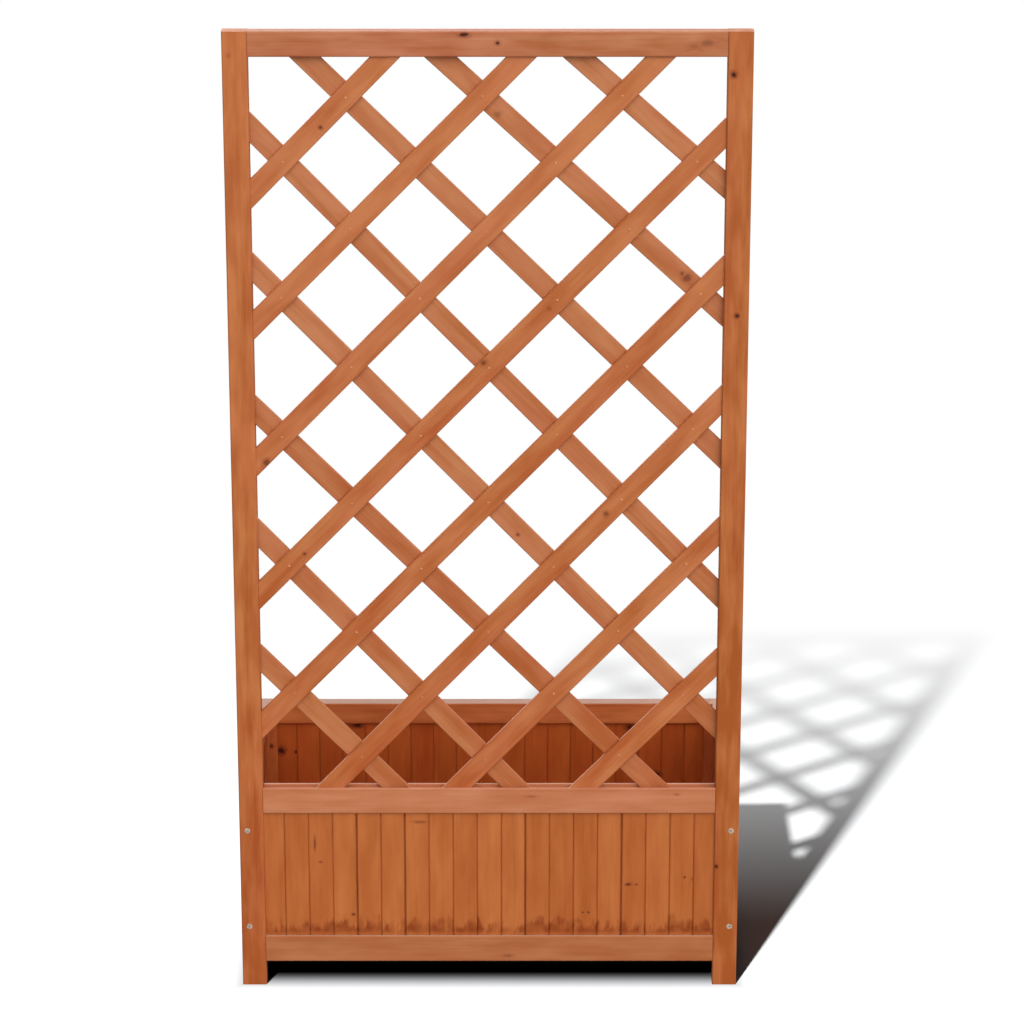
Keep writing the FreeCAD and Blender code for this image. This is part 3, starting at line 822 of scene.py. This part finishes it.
def make_paper():
    """Matt white paper, with a painted shadow under the box and a painted white glow behind
    it.
    """
    paper = bpy.data.materials.new("Matt white paper")
    paper.use_nodes = True
    tree = paper.node_tree
    tree.nodes.clear()
    seen = seen_directly(tree)
    coordinates = add(tree, "TexCoord", None, None, "Object")
    colour = add(tree, "Mix", {"data_type": "RGBA"},
                 {0: seen, 6: linear(PAPER_BOUNCING), 7: linear(PAPER_SEEN)}, 2)
    # Painted shadow: the paper's colour is scaled down under the box.
    shaded = add(tree, "VectorMath", {"operation": "SCALE"},
                 {0: colour, "Scale": painted_shadow_under_box(tree, coordinates)})
    matt = add(tree, "BsdfDiffuse", None, {"Color": shaded})
    # Painted light: white emission for camera and reflection rays grows with depth and fades
    # the lattice's shadow out.
    behind = add(tree, "SeparateXYZ", None, {0: coordinates}).node.outputs[1]
    away = add(tree, "MapRange", None, {
        "Value": behind, "From Min": FADE[0], "From Max": FADE[1]})
    slow_start = add(tree, "Math", {"operation": "POWER"}, {0: away, 1: FADE_CURVE})
    fade = add(tree, "Math", {"operation": "MULTIPLY"}, {0: slow_start, 1: seen})
    white = add(tree, "Emission", None, {"Color": WHITE})
    faded = add(tree, "MixShader", None, {0: fade, 1: matt, 2: white})
    add(tree, "OutputMaterial", None, {"Surface": faded})
    return paper


sheet = bmesh.new()
bmesh.ops.create_grid(sheet, x_segments=1, y_segments=1, size=FLOOR_SIZE / 2)
floor_mesh = bpy.data.meshes.new("studio_floor")
sheet.to_mesh(floor_mesh)
sheet.free()
floor_mesh.materials.append(make_paper())
floor = bpy.data.objects.new("studio_floor", floor_mesh)
bpy.context.scene.collection.objects.link(floor)
print("floor", FLOOR_SIZE, "m wide")

# %% [markdown]
# ## Light
#
# The planter stands in soft light from above and in front, with more from the right,
# from overhead and from behind, so that it reads well from every side. A sun lamp with a
# wide angle acts as a large softbox that lights every board alike. The floor has a lamp
# of its own, a narrow one from the front left, which draws the lattice's shadow on it.
# Light linking tells a lamp which objects it lights, and the planter still casts its
# shadow. The world adds an even, low light from all round, and is white where the camera
# or a reflection sees it.

# %% Lamps and world
WORLD_GLOW = 0.11
floor_only = bpy.data.collections.new("lit by the shadow lamp")
floor_only.objects.link(floor)
all_but_floor = bpy.data.collections.new("lit by the softboxes")
all_but_floor.objects.link(floor)
all_but_floor.collection_objects[0].light_linking.link_state = "EXCLUDE"


def sun(name, travel, angle, strength, receivers):
    """A lamp whose light travels in one direction, blurred over an angle in degrees."""
    lamp = bpy.data.lights.new(name, "SUN")
    lamp.angle = math.radians(angle)
    lamp.energy = strength
    holder = bpy.data.objects.new(name, lamp)
    holder.rotation_euler = Vector(travel).to_track_quat("-Z", "Y").to_euler()
    holder.light_linking.receiver_collection = receivers
    bpy.context.scene.collection.objects.link(holder)


sun("front softbox", (-0.3, 1.0, -0.8), 70, 2.55, all_but_floor)
sun("right softbox", (-1.0, 0.2, -0.3), 70, 0.9, all_but_floor)
sun("overhead softbox", (0.0, 0.25, -1.0), 80, 0.65, all_but_floor)
sun("back softbox", (0.6, -1.0, -0.4), 60, 2.2, all_but_floor)
sun("shadow lamp", (0.53, 1.45, -1.37), 1.9, 20.0, floor_only)

world = bpy.data.worlds.new("studio")
bpy.context.scene.world = world
world.use_nodes = True
tree = world.node_tree
tree.nodes.clear()
level = add(tree, "MapRange", None, {"Value": seen_directly(tree), "To Min": WORLD_GLOW})
sky = add(tree, "Background", None, {"Color": WHITE, "Strength": level})
add(tree, "OutputWorld", None, {"Surface": sky})
bpy.context.scene.view_settings.view_transform = "Standard"
print(len(bpy.data.lights), "lamps and a white world")

# %% [markdown]
# ## The camera
#
# The planter is seen square on, from a little right of its middle and from above its
# trellis, looking down just far enough to see into the box. A long lens from a few steps
# back keeps the tall posts close to upright.

# %% Camera
LENS = 135.0                      # millimetres
CAMERA_PLACE = (0.032, -5.15, 2.348)
CAMERA_TILT = 17.8                # degrees below the horizon
CAMERA_SHIFT = -0.03

camera = bpy.data.objects.new("camera", bpy.data.cameras.new("camera"))
camera.data.lens = LENS
camera.data.shift_y = CAMERA_SHIFT
camera.location = CAMERA_PLACE
camera.rotation_euler = (math.radians(90 - CAMERA_TILT), 0, 0)
bpy.context.scene.collection.objects.link(camera)
bpy.context.scene.camera = camera
print("camera", LENS, "mm,", CAMERA_TILT, "degrees down")
